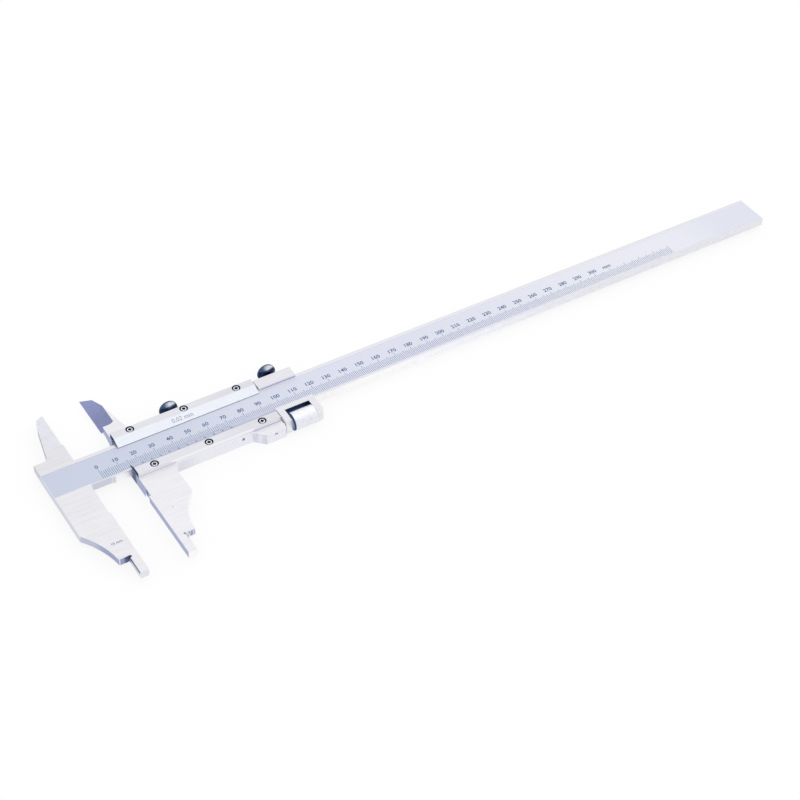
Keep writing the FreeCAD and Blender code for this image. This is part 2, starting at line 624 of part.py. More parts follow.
def make_lock_screw(name, x, gap):
    """A thumb screw with a knurled, domed head on a short hub."""
    body = new_body(name)
    hub = "stem_long"
    cone = "(%s + knob_hub)" % hub
    rim = "(%s + knob_cone)" % cone
    top = "(%s + knob_rim)" % rim
    dome = "((knob_radius - knob_edge) ^ 2 + knob_dome ^ 2) / (2 * knob_dome)"
    turned(body, "screw", [("0", "0"), ("lock_radius - screw_edge", "0"), ("lock_radius", "screw_edge"),
                           ("lock_radius", hub), ("knob_hub_radius", hub), ("knob_hub_radius", cone),
                           ("knob_radius - knob_edge", rim), ("knob_radius", rim + " + knob_edge"),
                           ("knob_radius", top + " - knob_edge"), ("knob_radius - knob_edge", top),
                           ("0", top + " + knob_dome")], {9: (dome, 1)})
    place(body, x, "gib_top + pad_high + " + gap, "lock_z", Vector(1, 0, 0), -90)
    return body


def make_rod(name):
    """The adjusting rod, fixed in the lug and running through the nut and the carriage."""
    body = new_body(name)
    length = "(carriage_right - rod_end_inset - slider_left - rod_start)"
    turned(body, "rod", [("0", "0"), ("rod_radius", "0"), ("rod_radius", length + " - rod_edge"),
                         ("rod_radius - rod_edge", length), ("0", length)])
    place(body, "slider_left + rod_start", "-rod_low", "mid", Vector(0, 1, 0), 90)
    return body


def make_carriage():
    """The fine-adjustment carriage: a channel over the beam with a window for the nut."""
    body = new_body("carriage_body")
    front = "beam_thick + carriage_front"
    points = [("-carriage_low", "-slider_back"), ("carriage_high", "-slider_back"), ("carriage_high", front),
              ("half - lip", front), ("half - lip", "slider_front"), ("slot_high", "slider_front"),
              ("slot_high", "-run_clear"), ("-channel_low", "-run_clear"), ("-channel_low", "slider_front"),
              ("-half + lip", "slider_front"), ("-half + lip", front), ("-carriage_low", front)]
    section = outline(body, "channel_section", "YZ_Plane", points, height="carriage_left")
    pad(body, section, "channel", "carriage_length")
    window = outline(body, "window_outline", "XY_Plane",
                     box_points("window_left", "window_right", "-carriage_low - spare", "-window_high"))
    cut(body, window, "nut_window", both=True)
    rod = rings(body, "rod_hole_section", "YZ_Plane", [("-rod_low", "mid", "rod_radius + wall_clear")])
    cut(body, rod, "rod_holes", both=True)
    lock = rings(body, "lock_hole_outline", "XZ_Plane",
                 [("carriage_left + carriage_lock_at", "lock_z", "lock_radius + thread_clear")],
                 "-carriage_high - spare")
    cut(body, lock, "lock_hole", "carriage_high + spare - half", up=True)
    return body


def make_nut(name):
    """The knurled adjusting nut, captive in its window."""
    body = new_body(name)
    long = "(window_long - nut_play - nut_slack)"
    bore = "rod_radius + nut_bore_clear"
    turned(body, "nut", [(bore, "0"), ("nut_radius - nut_chamfer", "0"), ("nut_radius", "nut_chamfer"),
                         ("nut_radius", long + " - nut_chamfer"), ("nut_radius - nut_chamfer", long),
                         (bore, long)])
    place(body, "window_left + nut_play", "-rod_low", "mid", Vector(0, 1, 0), 90)
    return body


def make_all():
    """Every piece of the caliper."""
    made = [make_beam(), make_end_stop(), make_slider()]
    made.append(make_plate("upper_plate", True))
    made.append(make_plate("vernier_plate", False))
    for i in range(3):
        x = "slider_left + screw_first + screw_step * %d" % i
        made.append(make_plate_screw("upper_plate_screw_%d" % (i + 1), x, "upper_screw_line"))
        made.append(make_plate_screw("vernier_plate_screw_%d" % (i + 1), x, "-lower_screw_line"))
    made.append(make_gib("slider_gib", "slider_left", "slider_length"))
    long = "(slider_high - set_sink - half - run_clear - gib_thick)"
    for i in range(2):
        x = "slider_left + set_first + set_step * %d" % i
        made.append(make_set_screw("gib_set_screw_%d" % (i + 1), x, "set_radius", long,
                                   "half + run_clear + gib_thick"))
    made.append(make_set_screw("side_set_screw", "slider_left + side_screw_at", "side_screw_radius",
                               "side_screw_long", "-slider_low + set_sink + side_screw_long",
                               "mid - side_screw_radius / 2", True))
    made.append(make_rod("adjusting_rod"))
    made.append(make_set_screw("rod_pin", "slider_left + pin_at", "pin_radius",
                               "(lug_low - rod_low - rod_radius - pin_sink)", "-rod_low - rod_radius",
                               "mid", True))
    made.append(make_lock_pad("slider_lock_pad", "slider_left + lock_at", "slider_lock_gap"))
    made.append(make_lock_screw("slider_lock_screw", "slider_left + lock_at", "slider_lock_gap"))
    made.append(make_carriage())
    made.append(make_gib("carriage_gib", "carriage_left", "carriage_length"))
    made.append(make_nut("adjusting_nut"))
    made.append(make_lock_pad("carriage_lock_pad", "carriage_left + carriage_lock_at", "carriage_lock_gap"))
    made.append(make_lock_screw("carriage_lock_screw", "carriage_left + carriage_lock_at",
                                "carriage_lock_gap"))
    return made


bodies = make_all()
doc.recompute()
for item in doc.Objects:
    if "Invalid" in item.State or "Error" in item.State:
        raise RuntimeError("%s is not up to date: %s" % (item.Label, item.State))
for body in bodies:
    if body.Shape.isNull() or not body.Shape.isValid():
        raise RuntimeError(body.Label + " has no valid shape")
os.makedirs("parts", exist_ok=True)
for body in bodies:
    body.Shape.exportStep("parts/%s.step" % body.Label)
    box = body.Shape.BoundBox
    print("%-24s %9.1f mm3  X %.2f..%.2f  Y %.2f..%.2f  Z %.2f..%.2f  solids %d" % (
        body.Label, body.Shape.Volume, box.XMin, box.XMax, box.YMin, box.YMax, box.ZMin, box.ZMax,
        len(body.Shape.Solids)))
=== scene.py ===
"""Vernier caliper: ground and satin steel, graduations, knurls and a plain light table."""

import functools
import math

import bmesh
import bpy
from bpy.props import FloatProperty, FloatVectorProperty, IntProperty, PointerProperty
from mathutils import Matrix, Vector


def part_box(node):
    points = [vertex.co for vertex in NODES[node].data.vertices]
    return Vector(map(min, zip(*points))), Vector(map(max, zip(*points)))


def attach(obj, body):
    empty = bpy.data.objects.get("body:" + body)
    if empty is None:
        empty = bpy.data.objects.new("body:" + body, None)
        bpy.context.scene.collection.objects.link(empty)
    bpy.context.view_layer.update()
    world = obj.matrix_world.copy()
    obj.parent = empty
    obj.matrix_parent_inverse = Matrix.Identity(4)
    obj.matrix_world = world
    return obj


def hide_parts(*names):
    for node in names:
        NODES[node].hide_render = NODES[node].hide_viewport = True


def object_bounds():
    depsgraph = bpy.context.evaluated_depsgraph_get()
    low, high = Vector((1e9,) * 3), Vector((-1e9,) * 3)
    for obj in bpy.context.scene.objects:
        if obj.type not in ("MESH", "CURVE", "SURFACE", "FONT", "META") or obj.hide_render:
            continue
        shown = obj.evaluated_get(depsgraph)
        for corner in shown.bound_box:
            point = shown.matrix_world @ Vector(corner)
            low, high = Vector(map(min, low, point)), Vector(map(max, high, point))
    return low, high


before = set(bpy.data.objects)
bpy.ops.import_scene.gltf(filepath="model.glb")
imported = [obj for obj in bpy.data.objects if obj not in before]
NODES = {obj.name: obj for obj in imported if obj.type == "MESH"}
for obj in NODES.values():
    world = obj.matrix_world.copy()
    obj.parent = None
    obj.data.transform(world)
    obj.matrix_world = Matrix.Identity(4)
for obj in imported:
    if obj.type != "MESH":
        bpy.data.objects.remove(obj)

bl_info = {
    "name": "Vernier caliper",
    "version": (1, 0, 0),
    "blender": (4, 5, 0),
    "location": "View3D > Sidebar > Caliper",
    "description": "Finishes, graduations and knurls of a vernier caliper on a light table",
    "category": "Object",
}

MM = 0.001
CAD_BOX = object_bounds()
_, BEAM_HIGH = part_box("beam")
SLIDER_LOW, SLIDER_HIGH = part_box("slider_body")
UPPER_LOW, UPPER_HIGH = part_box("upper_plate")
LOWER_LOW, LOWER_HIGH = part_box("vernier_plate")
NUT_LOW, NUT_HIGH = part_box("adjusting_nut")
CARRIAGE_LOW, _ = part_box("carriage_body")

# How a face lies, told by the part of its normal along an axis
FLAT = 0.9
SQUARE = 0.8
SLOPING = 0.2

# Places for the finishes and for the painted shade and highlights, in millimetres from the fixed measuring
# face and the beam's centre line
RAIL_EDGE = 10.05
LOW_RAIL_EDGE = 9.15
HIGH_RAIL_EDGE = 8.4
UNDERCUT = (0.3, 12.2)
UNDERCUT_FOOT = -12.0
KNIFE_LEFT_FOOT = 17.5
HEEL_TOP = -38.0
NIB_ROOT = (-70.0, -50.0)
NOTCH_PLACE = (-4.1, -61.5)
NOTCH_RADIUS = 1.095
DENT_PLACE = (27.3, -43.0)
DENT_RADIUS = 0.3
BEAM_SHADOW = (-14.0, 14.0)
GROOVE_SHADOW = (-27.5, -25.8)
SHOULDER = (41.0, 44.0)
LUG_REACH = 20.0

# Radii round the middle of a screw, in millimetres
WELL_RADIUS = 2.4
HEAD_FACE = 1.42
SOCKET_RADIUS = 0.9
SIDE_SCREW_REACH = 1.3

# A vertex this near to a radius, in metres, lies on it
TOUCH = 1e-6


def length(name, value, description):
    """A property for a length, its default given in millimetres."""
    return FloatProperty(name=name, description=description, default=value * MM, unit="LENGTH",
                         subtype="DISTANCE", precision=5)


def colour(name, value, description):
    """A property for a colour in linear light."""
    return FloatVectorProperty(name=name, description=description, default=value, subtype="COLOR",
                               size=3, min=0, max=1)


class CaliperScaleSizes(bpy.types.PropertyGroup):
    """Graduations of the beam and the vernier."""

    zero: length("Zero", 6.96, "Fixed measuring face to the zero mark")
    pitch: length("Pitch", 1.0, "Spacing of the marks on the beam")
    count: IntProperty(name="Marks", description="Last mark of the beam", default=350)
    numbered: IntProperty(name="Numbered", description="Last mark with a number", default=300)
    foot: length("Foot", -8.6, "Centre line to the foot of the marks")
    short: length("Short", -3.45, "Centre line to the top of a short mark")
    middle: length("Middle", -2.65, "Centre line to the top of a five")
    long: length("Long", -1.85, "Centre line to the top of a ten")
    stroke: length("Stroke", 0.19, "Width of a mark")
    figure: length("Figures", 2.4, "Height of the numbers")
    figure_foot: length("Figure foot", -0.85, "Centre line to the foot of the numbers")
    sunk: length("Sunk", 0.05, "How far the filled marks go into the metal")
    proud: length("Proud", 0.012, "How far the filled marks stand over it")
    band_depth: length("Band depth", 0.1, "Satin band below the ground rails")
    vernier_count: IntProperty(name="Vernier", description="Divisions of the vernier", default=50)
    vernier_pitch: length("Vernier pitch", 0.98, "Spacing of the marks on the vernier")
    vernier_stroke: length("Vernier stroke", 0.16, "Width of a vernier mark")
    vernier_short: length("Vernier short", 1.5, "Length of a short vernier mark")
    vernier_long: length("Vernier long", 2.3, "Length of a numbered vernier mark")
    vernier_figure: length("Vernier figures", 1.5, "Height of the vernier numbers")
    reading_height: length("Reading", 2.35, "Height of the reading on the upper plate")
    unit_at: length("Unit", 316.7, "Fixed measuring face to the middle of the unit sign")
    nib_figure: length("Nib figures", 1.5, "Height of the width written above the nibs")
    nib_x: length("Nib figures X", -5.95, "Middle of that width along the beam")
    nib_y: length("Nib figures Y", -51.15, "Foot of that width across the beam")
    plate_edge: length("Plate edge", 0.25, "Thickness at a plate's thin edge")
    plate_bevel: length("Plate bevel", 4.8, "Width of a plate's bevel, seen from the front")
    plate_gap: length("Plate gap", 0.05, "Bare edge of the vernier's plate, ahead of its marks")
    reading_x: length("Reading X", 31.2, "Vernier's zero to the middle of the reading")
    reading_y: length("Reading Y", 1.5, "Upper plate's edge to the foot of the reading")


class CaliperKnurlSizes(bpy.types.PropertyGroup):
    """Knurls, threads and turned details."""

    nut_teeth: IntProperty(name="Nut teeth", description="Diamonds round the adjusting nut", default=26)
    nut_depth: length("Nut depth", 0.16, "Depth of the nut's knurl")
    nut_plain: length("Nut plain", 0.9, "Plain band at each end of the nut")
    nut_bore: length("Nut bore", 1.55, "Radius of the nut's bore")
    nut_chamfer: length("Nut chamfer", 0.5, "Chamfer at the ends of the nut")
    head_teeth: IntProperty(name="Head teeth", description="Teeth round a lock screw's head", default=60)
    head_depth: length("Head depth", 0.16, "Depth of the head's knurl")
    head_rim: length("Head rim", 2.2, "Height of the head's knurled rim")
    head_edge: length("Head edge", 0.35, "Chamfer on both edges of the rim")
    head_dome: length("Head dome", 0.45, "Height of the dome over the rim")
    head_cone: length("Head cone", 0.9, "Height of the cone under the rim")
    hub_radius: length("Hub radius", 3.0, "Radius of a lock screw's hub")
    hub_height: length("Hub height", 0.8, "Height of a lock screw's hub")
    stem_radius: length("Stem radius", 1.95, "Radius of a lock screw's thread")
    thread_pitch: length("Thread pitch", 0.5, "Pitch of the adjusting rod's thread")
    thread_depth: length("Thread depth", 0.14, "Depth of the adjusting rod's thread")
    rod_chamfer: length("Rod chamfer", 0.4, "Chamfer at the free end of the adjusting rod")


class CaliperColours(bpy.types.PropertyGroup):
    """Colours of the finishes, and of the painted shade, highlights and reflections."""

    ground: colour("Ground steel", (0.80, 0.795, 0.85), "Sides, rails, plates and carriage")
    front: colour("Ground fronts", (0.785, 0.778, 0.812), "Front faces of the jaws and the slider")
    # Rails also gives the bright steel of screws, nut and rod, painted highlights on edges, painted light on
    # lit sides and a painted reflection at the band's tail
    rail: colour("Rails", (0.90, 0.90, 0.93), "Ground rails and edges")
    satin: colour("Satin band", (0.735, 0.75, 0.85), "Band of the graduations, and the vernier's bevel")
    # Painted reflection and shade: the band's cooler end, the vernier's shaded bevels, the lighter side of
    # counterbores and screws, a faint reflection on the lock screws
    satin_end: colour("Satin end", (0.60, 0.645, 0.765), "The band at the jaws' end, and cool tints")
    bevel: colour("Upper bevel", (0.77, 0.795, 0.855), "Bevel of the upper plate")
    # The knife facet's colour is painted shade and reflection
    facet: colour("Knife facet", (0.27, 0.295, 0.51), "Facet of the moving knife jaw")
    shade: colour("Shaded end", (0.36, 0.40, 0.58), "Ends that face the fixed jaw")
    # Dark painted shade on ends, edges, rims, the nut's window and the lock screws' undersides
    navy: colour("Dark edge", (0.035, 0.07, 0.16), "Dark edges of ends and rims")
    # Dark painted shade in counterbores and screw sockets
    recess: colour("Recess", (0.008, 0.036, 0.10), "Counterbores and deep corners")
    paint: colour("Graduation paint", (0.028, 0.105, 0.24), "Filled marks and numbers")
    etching: colour("Etching", (0.40, 0.45, 0.54), "Unfilled figures on the upper plate")
    stamping: colour("Stamping", (0.20, 0.27, 0.42), "Figures above the nibs")
    head: colour("Lock screw", (0.05, 0.085, 0.17), "Heads of the lock screws")
    brass: colour("Brass", (0.70, 0.50, 0.22), "Gib strips and lock plugs")
    table: colour("Table", (0.95, 0.95, 0.95), "Light table under the caliper")


class Number:
    """A value in a material; arithmetic on it adds Math nodes."""

    def __init__(self, finish, socket):
        self.finish = finish
        self.socket = socket

    def __add__(self, other):
        return self.finish.math("ADD", self, other)

    def __radd__(self, other):
        return self.finish.math("ADD", other, self)

    def __sub__(self, other):
        return self.finish.math("SUBTRACT", self, other)

    def __rsub__(self, other):
        return self.finish.math("SUBTRACT", other, self)

    def __mul__(self, other):
        return self.finish.math("MULTIPLY", self, other)

    def __rmul__(self, other):
        return self.finish.math("MULTIPLY", other, self)

    def __gt__(self, other):
        return self.finish.math("GREATER_THAN", self, other)

    def __lt__(self, other):
        return self.finish.math("LESS_THAN", self, other)


class Finish:
    """A material with one Principled shader, in the piece's own coordinates, in millimetres."""

    def __init__(self, name, base, metallic=1.0, roughness=0.35):
        self.material = bpy.data.materials.new(name)
        self.material.use_nodes = True
        self.tree = self.material.node_tree
        self.shader = self.tree.nodes["Principled BSDF"]
        self.shader.inputs["Base Color"].default_value = (*base, 1)
        self.shader.inputs["Metallic"].default_value = metallic
        self.shader.inputs["Roughness"].default_value = roughness
        self.material.diffuse_color = (*base, 1)
        place = self.node("ShaderNodeTexCoord", {}, {}, "Object")
        self.x, self.y, self.z = (axis * (1 / MM) for axis in self.apart(place))

    def node(self, kind, settings, values, output=0):
        """Adds a node, its settings first and then the values or links of its sockets."""
        made = self.tree.nodes.new(kind)
        for key, value in settings.items():
            setattr(made, key, value)
        for key, value in values.items():
            if isinstance(value, Number):
                self.tree.links.new(value.socket, made.inputs[key])
            else:
                made.inputs[key].default_value = value
        return Number(self, made.outputs[output])

    def math(self, operation, *values):
        """One Math node."""
        return self.node("ShaderNodeMath", {"operation": operation}, dict(enumerate(values)))

    def apart(self, vector):
        """The three parts of a vector."""
        split = self.node("ShaderNodeSeparateXYZ", {}, {0: vector})
        return [Number(self, output) for output in split.socket.node.outputs]

    def facing(self):
        """The three parts of the face's normal."""
        return self.apart(self.node("ShaderNodeNewGeometry", {}, {}, "True Normal"))

    def between(self, value, low, high):
        """1 where the value lies between the limits."""
        return (value > low) * (value < high)

    def ramp(self, value, low, high):
        """0 at low and beyond, 1 at high and beyond, smooth between; low may be the larger."""
        settings = {"interpolation_type": "SMOOTHSTEP"}
        return self.node("ShaderNodeMapRange", settings, {0: value, 1: low, 2: high, 3: 0.0, 4: 1.0})

    def noise(self, across, detail=3.0, rough=0.55, lift=0.0):
        """Noise whose grain is so many millimetres long along each axis."""
        place = self.node("ShaderNodeCombineXYZ", {}, {
            0: self.x * (1 / across[0]), 1: self.y * (1 / across[1]), 2: self.z * (1 / across[2]) + lift})
        values = {"Vector": place, "Scale": 1.0, "Detail": detail, "Roughness": rough}
        return self.node("ShaderNodeTexNoise", {}, values)

    def mix(self, factor, first, second, blend="MIX"):
        """Two colours mixed."""
        spread = [(*value, 1) if isinstance(value, (tuple, list)) else value for value in (first, second)]
        return self.node("ShaderNodeMix", {"data_type": "RGBA", "blend_type": blend},
                         {0: factor, 6: spread[0], 7: spread[1]}, 2)

    def tone(self, base, amount):
        """The colour made lighter or darker by a number round 1."""
        grey = self.node("ShaderNodeCombineColor", {}, {0: amount, 1: amount, 2: amount})
        return self.mix(1.0, base, grey, "MULTIPLY")

    def paint(self, base=None, roughness=None, metallic=None):
        """Links what changes over the surface."""
        for key, value in (("Base Color", base), ("Roughness", roughness), ("Metallic", metallic)):
            if value is not None:
                self.tree.links.new(value.socket, self.shader.inputs[key])

    def bump(self, pattern, deep, strength=0.6):
        """Raises the surface by a pattern of 0 to 1, times a depth in millimetres."""
        values = {"Strength": strength, "Distance": deep * MM, "Height": pattern}
        self.tree.links.new(self.node("ShaderNodeBump", {}, values).socket, self.shader.inputs["Normal"])

    def spot(self, place, radius, across="xy"):
        """1 within a radius of a place, seen along the third axis."""
        first, second = (getattr(self, axis) - at for axis, at in zip(across, place))
        return first * first + second * second < radius ** 2

    def within(self, nodes, radius, across="xy"):
        """1 within a radius of the middle of any of the named nodes, seen along the third axis."""
        inside = 0
        for name in nodes:
            low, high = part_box(name)
            middle = (low + high) / 2 / MM
            inside = inside + self.spot([getattr(middle, axis) for axis in across], radius, across)
        return inside

    def off(self, nodes, radius, axis):
        """How far a point lies along an axis from the middle of the named node that it is within reach of."""
        total = 0
        for name in nodes:
            low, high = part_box(name)
            middle = getattr(low + high, axis) / 2 / MM
            total = total + self.within([name], radius) * (getattr(self, axis) - middle)
        return total

    def brushed(self, along=(26.0, 0.5, 0.5)):
        """Grain of a ground face, coarse and fine together, round 0.5."""
        fine = tuple(a * 0.4 for a in along)
        return self.noise(along, 4.0) * 0.6 + self.noise(fine, 3.0, lift=7.0) * 0.4

    def wear(self, *pieces):
        """Puts the finish on the named CAD nodes or on pieces."""
        for piece in pieces:
            target = NODES[piece] if isinstance(piece, str) else piece
            target.data.materials.clear()
            target.data.materials.append(self.material)


def colours():
    """The colours as the panel has them."""
    return bpy.context.scene.caliper_colours


def shown(bm, name, body, finish, replaces=()):
    """Turns a bmesh into a piece that rides on a body."""
    mesh = bpy.data.meshes.new(name)
    bm.to_mesh(mesh)
    bm.free()
    piece = bpy.data.objects.new(name, mesh)
    bpy.context.scene.collection.objects.link(piece)
    finish.wear(piece)
    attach(piece, body)
    if replaces:
        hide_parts(*replaces)
    return piece


def block(bm, low, high, place=Matrix()):
    """A box between two corners."""
    low, high = Vector(low), Vector(high)
    size = Matrix.Diagonal((*(high - low), 1))
    bmesh.ops.create_cube(bm, size=1, matrix=place @ Matrix.Translation((low + high) / 2) @ size)


def figures(bm, text, height, thick, place):
    """A line of figures, its foot centred on the place's origin, as a thin solid."""
    curve = bpy.data.curves.new("figures", "FONT")
    curve.body = text
    curve.align_x = "CENTER"
    curve.resolution_u = 3
    curve.offset = 0.018
    curve.extrude = 0.5
    holder = bpy.data.objects.new("figures", curve)
    bpy.context.scene.collection.objects.link(holder)
    bpy.context.view_layer.update()
    mesh = bpy.data.meshes.new_from_object(holder.evaluated_get(bpy.context.evaluated_depsgraph_get()))
    bpy.data.objects.remove(holder)
    bpy.data.curves.remove(curve)
    tall = figure_height()
    scale = Matrix.Diagonal((height / tall, height / tall, thick, 1))
    before = len(bm.verts)
    bm.from_mesh(mesh)
    bpy.data.meshes.remove(mesh)
    bm.verts.ensure_lookup_table()
    fresh = bm.verts[before:]
    bmesh.ops.transform(bm, matrix=place @ scale, verts=fresh)


@functools.cache
def figure_height():
    """Height of a figure at the font's own size, measured once."""
    curve = bpy.data.curves.new("measure", "FONT")
    curve.body = "0"
    holder = bpy.data.objects.new("measure", curve)
    bpy.context.scene.collection.objects.link(holder)
    bpy.context.view_layer.update()
    height = holder.dimensions.y
    bpy.data.objects.remove(holder)
    bpy.data.curves.remove(curve)
    return height


def spun(profile, steps, cuts, closed=False):
    """A bmesh turned about Z from a half profile of (radius, height); cuts divide some of its stretches."""
    bm = bmesh.new()
    verts = [bm.verts.new((r, 0, z)) for r, z in profile]
    pairs = list(zip(verts, verts[1:])) + ([(verts[-1], verts[0])] if closed else [])
    edges = [bm.edges.new(pair) for pair in pairs]
    for index, number in cuts.items():
        bmesh.ops.subdivide_edges(bm, edges=[edges[index]], cuts=number)
    bmesh.ops.spin(bm, geom=bm.verts[:] + bm.edges[:], cent=(0, 0, 0), axis=(0, 0, 1),
                   angle=2 * math.pi, steps=steps, use_merge=True)
    bmesh.ops.remove_doubles(bm, verts=bm.verts[:], dist=1e-7)
    bmesh.ops.recalc_face_normals(bm, faces=bm.faces[:])
    return bm


def tooth(turns):
    """A ridge: 1 at whole turns, 0 half way between."""
    return abs(2 * (turns % 1) - 1)


def smooth(bm, angle=30):
    """Smooth shading apart from edges sharper than the angle."""
    for face in bm.faces:
        face.smooth = True
    for edge in bm.edges:
        edge.smooth = len(edge.link_faces) < 2 or edge.calc_face_angle(0) < math.radians(angle)


class CALIPER_OT_beam(bpy.types.Operator):
    """Finish the beam: satin band between ground rails, brushed jaws, dull sides, painted shade on ends and
    hollows, painted highlights on edges, a painted reflection along the band
    """

    bl_idname = "caliper.beam"
    bl_label = "Beam and fixed jaws"

    def execute(self, context):
        tints = colours()
        scale = context.scene.caliper_scale
        steel = Finish("ground_beam", tints.ground)
        nx, ny, nz = steel.facing()
        face = BEAM_HIGH.z / MM
        top = nz > FLAT
        side = 1 - (nz > SLOPING)
        left = nx < -SQUARE
        grain = steel.brushed()
        cloud = steel.noise((9.0, 9.0, 9.0), 2.0)
        band = top * (steel.z < (BEAM_HIGH.z - scale.band_depth / 2) / MM)
        rail = top * (1 - band) * steel.between(steel.y, -RAIL_EDGE, RAIL_EDGE) * (steel.x > 0.0)
        # A line of painted shade at the step from the lower rail to the band, fading along the beam, and a
        # painted highlight at the step from the upper rail
        low_step_shade = rail * steel.between(steel.y, -LOW_RAIL_EDGE, 0.0)
        high_step_highlight = rail * steel.between(steel.y, 0.0, HIGH_RAIL_EDGE)
        # The head is painted darker towards the knife jaw, a painted shade
        head = (steel.x < 0.5) * steel.ramp(steel.y, 2.0, 14.0) * 0.07
        base = steel.tone(tints.front[:], 0.75 + grain * 0.46 + cloud * 0.10 - head)
        base = steel.mix(rail, base, steel.tone(tints.ground[:], 0.93 + grain * 0.08))
        base = steel.mix(low_step_shade * (0.5 - steel.ramp(steel.x, 20.0, 140.0) * 0.4), base, tints.shade[:])
        base = steel.mix(high_step_highlight, base, tints.rail[:])
        # The band is painted cooler towards the jaws and lighter towards the tail, a painted reflection
        satin = steel.mix(steel.ramp(steel.x, -40.0, 170.0), tints.satin_end[:], tints.satin[:])
        far = steel.ramp(steel.x, 180.0, 350.0) * 0.5 - steel.ramp(steel.x, 365.0, 400.0) * 0.3
        satin = steel.mix(far, satin, tints.rail[:])
        satin = steel.tone(satin, 0.94 + steel.noise((0.35, 0.2, 0.35), 2.0) * 0.08)
        base = steel.mix(band, base, satin)
        facet = (nx > SLOPING) * (nz > SLOPING)
        base = steel.mix(facet, base, steel.tone(tints.ground[:], 0.92 + steel.noise((2.5, 2.5, 2.5)) * 0.24))
        # The sides are painted lighter past the undercut and darker towards the tail, painted light and shade
        pale = steel.ramp(steel.x, 11.8, 13.8) * 0.24 - steel.ramp(steel.x, 140.0, 320.0) * 0.22
        dull = steel.tone(tints.ground[:], 0.86 + pale + steel.noise((4.0, 2.0, 2.0), 4.0) * 0.30)
        base = steel.mix(side, base, dull)
        # The undercut's side is painted with shade
        undercut = side * steel.between(steel.x, *UNDERCUT) * (ny < -SQUARE) * (steel.y > UNDERCUT_FOOT)
        dim = steel.tone(steel.mix(0.35, tints.ground[:], tints.shade[:]), 0.85 + grain * 0.3)
        base = steel.mix(undercut, base, dim)
        # Left-facing ends are painted with shade, darkest on the knife jaw
        end = steel.mix(0.45, tints.rail[:], tints.shade[:])
        base = steel.mix(left, base, steel.tone(end, 0.85 + grain * 0.3))
        base = steel.mix(left * (steel.y > KNIFE_LEFT_FOOT), base, steel.tone(tints.shade[:], 0.5 + grain))
        # The heel's flank is painted with shade, deepening towards the nib
        heel = side * (nx < -0.1) * (ny < -0.1) * (steel.y < HEEL_TOP)
        base = steel.mix(heel * (0.4 + steel.ramp(steel.x, -15.5, -11.5) * 0.6), base, tints.shade[:])
        # The nib's root face is painted with shade and streaks of reflection, deepest towards the notch
        root = side * (ny < -SQUARE) * steel.between(steel.y, *NIB_ROOT) * steel.ramp(steel.x, -9.3, -8.7)
        dim = steel.mix(steel.ramp(steel.x, -7.6, -6.0) * 0.8, tints.shade[:], tints.navy[:])
        base = steel.mix(root, base, steel.tone(dim, 0.7 + steel.noise((0.5, 9.0, 4.0)) * 0.6))
        # The notch is painted with dark shade
        notch = side * steel.spot(NOTCH_PLACE, NOTCH_RADIUS)
        base = steel.mix(notch, base, steel.mix(steel.noise((0.4, 0.4, 3.0)), tints.navy[:], tints.shade[:]))
        # A painted highlight along the top of the sides, strongest on the fixed jaws
        highlight_depth, brink_deep = 0.3, 0.8
        edge = side * (steel.z > face - highlight_depth)
        base = steel.mix(edge, base, steel.mix((steel.x > 1.0) * 0.8, tints.rail[:], tints.ground[:]))
        # A line of dark painted shade along the top of the left ends, at the knife and the nibs
        brink = left * (steel.z > face - brink_deep) * ((steel.y > 8.0) + (steel.y < NOTCH_PLACE[1]))
        base = steel.mix(brink, base, tints.navy[:])
        steel.paint(base, 0.26 + band * 0.2 + side * 0.1 + grain * 0.1)
        steel.bump(grain, 0.02)
        steel.wear("beam")
        return {"FINISHED"}


class CALIPER_OT_graduations(bpy.types.Operator):
    """Fill the marks and numbers of the beam's scale, and stamp the width of the nibs"""

    bl_idname = "caliper.graduations"
    bl_label = "Main scale"

    def execute(self, context):
        scale = context.scene.caliper_scale
        paint = painted(colours())
        face = BEAM_HIGH.z - scale.band_depth
        low, high = face - scale.sunk, face + scale.proud
        bm = bmesh.new()
        for i in range(scale.count + 1):
            x = scale.zero + i * scale.pitch
            top = scale.long if i % 10 == 0 else scale.middle if i % 5 == 0 else scale.short
            block(bm, (x - scale.stroke / 2, scale.foot, low), (x + scale.stroke / 2, top, high))
        shown(bm, "beam_marks", "beam", paint)
        bm = bmesh.new()
        for i in range(0, scale.numbered + 1, 10):
            place = Matrix.Translation((scale.zero + i * scale.pitch, scale.figure_foot, (low + high) / 2))
            figures(bm, str(i), scale.figure, high - low, place)
        place = Matrix.Translation((scale.unit_at, scale.figure_foot, (low + high) / 2))
        figures(bm, "mm", scale.figure, high - low, place)
        shown(bm, "beam_figures", "beam", paint)
        bm = bmesh.new()
        jaw = BEAM_HIGH.z + (scale.proud - scale.sunk) / 2
        place = Matrix.Translation((scale.nib_x, scale.nib_y, jaw))
        figures(bm, "10 mm", scale.nib_figure, scale.proud + scale.sunk, place)
        shown(bm, "nib_figures", "beam", engraved("stamped_figures", colours().stamping))
        return {"FINISHED"}


def painted(tints):
    """Fill of the graduations: dull, and a little uneven."""
    fill = Finish("graduation_fill", tints.paint, 0.0, 0.6)
    fill.paint(fill.tone(tints.paint[:], 0.7 + fill.noise((1.0, 1.0, 1.0)) * 0.6))
    return fill


def engraved(name, tint):
    """Etched or stamped figures without fill."""
    etch = Finish(name, tint, 1.0, 0.5)
    etch.paint(etch.tone(tint[:], 0.8 + etch.noise((0.8, 0.8, 0.8)) * 0.4))
    return etch


